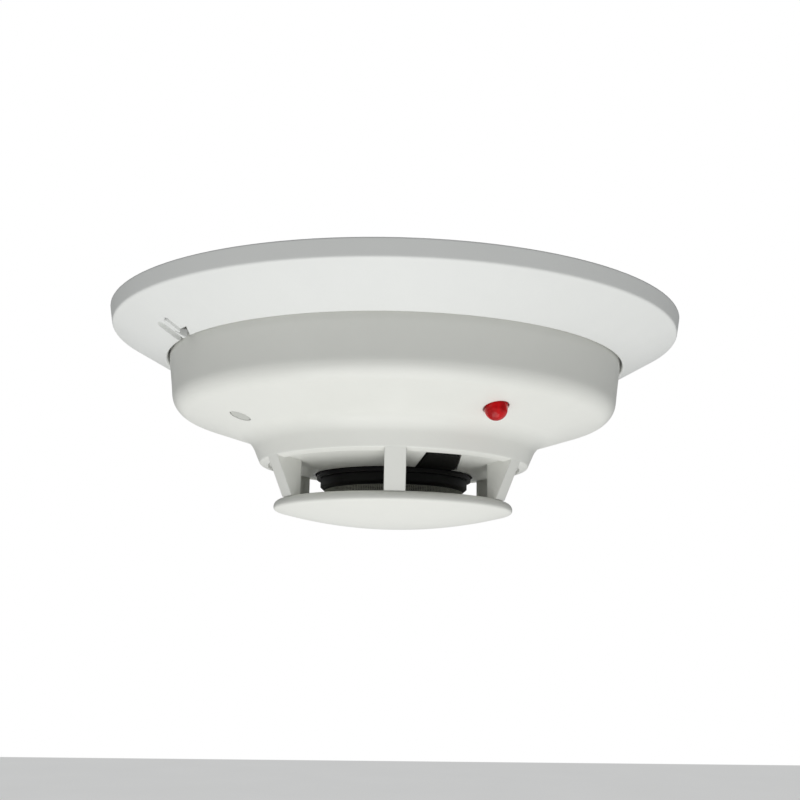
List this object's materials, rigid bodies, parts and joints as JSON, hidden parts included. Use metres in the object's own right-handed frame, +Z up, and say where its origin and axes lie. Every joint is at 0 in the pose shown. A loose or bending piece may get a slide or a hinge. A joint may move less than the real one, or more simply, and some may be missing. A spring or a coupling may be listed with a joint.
{
  "type": "ceiling fire detector",
  "caption": "Round ceiling fire detector: twist-lock base with sloped flange, and a stepped head with windows round a dark chamber over a domed disc.",
  "frame": {"origin": "centre of the mounting base's back face, on the ceiling plane", "axes": "+Z up into the ceiling; the detector hangs towards -Z; -Y is the side with the indicator lens and the test button"},
  "size_m": [0.1358, 0.1358, 0.0488],
  "materials": {
    "white_plastic": "satin moulded ABS, warm off-white",
    "base_plastic": "satin moulded ABS, slightly cooler off-white",
    "button_plastic": "light grey moulded plastic",
    "black_plastic": "matt black moulded plastic that stops stray light",
    "screen_metal": "fine dark woven screen",
    "red_lens": "clear deep red moulded lens",
    "steel": "zinc-plated steel",
    "brass": "bright brass contact strip",
    "circuit_board": "green solder mask",
    "component_black": "black epoxy package",
    "component_tan": "ceramic chip body",
    "capacitor_sleeve": "dark sleeve with bright top",
    "led_body": "pale resin package",
    "emitter_epoxy": "smoky clear epoxy",
    "label_paper": "blank white label"
  },
  "bodies": {
    "base": {"mounting_base": "base_plastic", "terminal_screws": "steel", "terminal_clamp_plates": "steel", "base_contact_springs": "brass"},
    "release_lever": {"tamper_release_lever": "black_plastic"},
    "head": {"head_housing": "white_plastic", "rating_label": "label_paper", "contact_blades": "brass", "circuit_board": "circuit_board", "board_screws": "steel", "cover_latch_fingers": "white_plastic", "microcontroller": "component_black", "capacitors": "capacitor_sleeve", "surge_suppressor": "component_black", "chip_components": "component_tan", "status_led": "led_body", "led_lens": "red_lens", "test_switch": "component_black", "chamber_base": "black_plastic", "optics_holder": "black_plastic", "infrared_emitter": "emitter_epoxy", "photodiode": "emitter_epoxy", "chamber_vanes": "black_plastic", "insect_screen": "screen_metal", "chamber_cap": "black_plastic", "thermistors": "component_black"},
    "test_button": {"test_button": "button_plastic"},
    "cover": {"outer_cover": "white_plastic"}
  },
  "joints": [
    {"name": "head_twist", "type": "hinge", "parent": "base", "child": "head", "pos_m": [0, 0, 0], "axis": [0, 0, -1], "range_deg": [0, 20]},
    {"name": "cover_pull", "type": "slide", "parent": "head", "child": "cover", "axis": [0, 0, -1], "range_m": [0, 0.042], "deforming": ["cover_latch_fingers"]},
    {"name": "test_button_press", "type": "slide", "parent": "head", "child": "test_button", "axis": [0, 0, 1], "range_m": [0, 0.0008], "stiffness_N_per_m": 600},
    {"name": "release_lever_swing", "type": "hinge", "parent": "base", "child": "release_lever", "pos_m": [-0.05786, -0.01769, 0], "axis": [0, 0, -1], "range_deg": [0, 5], "stiffness_Nm_per_rad": 0.02}
  ]
}
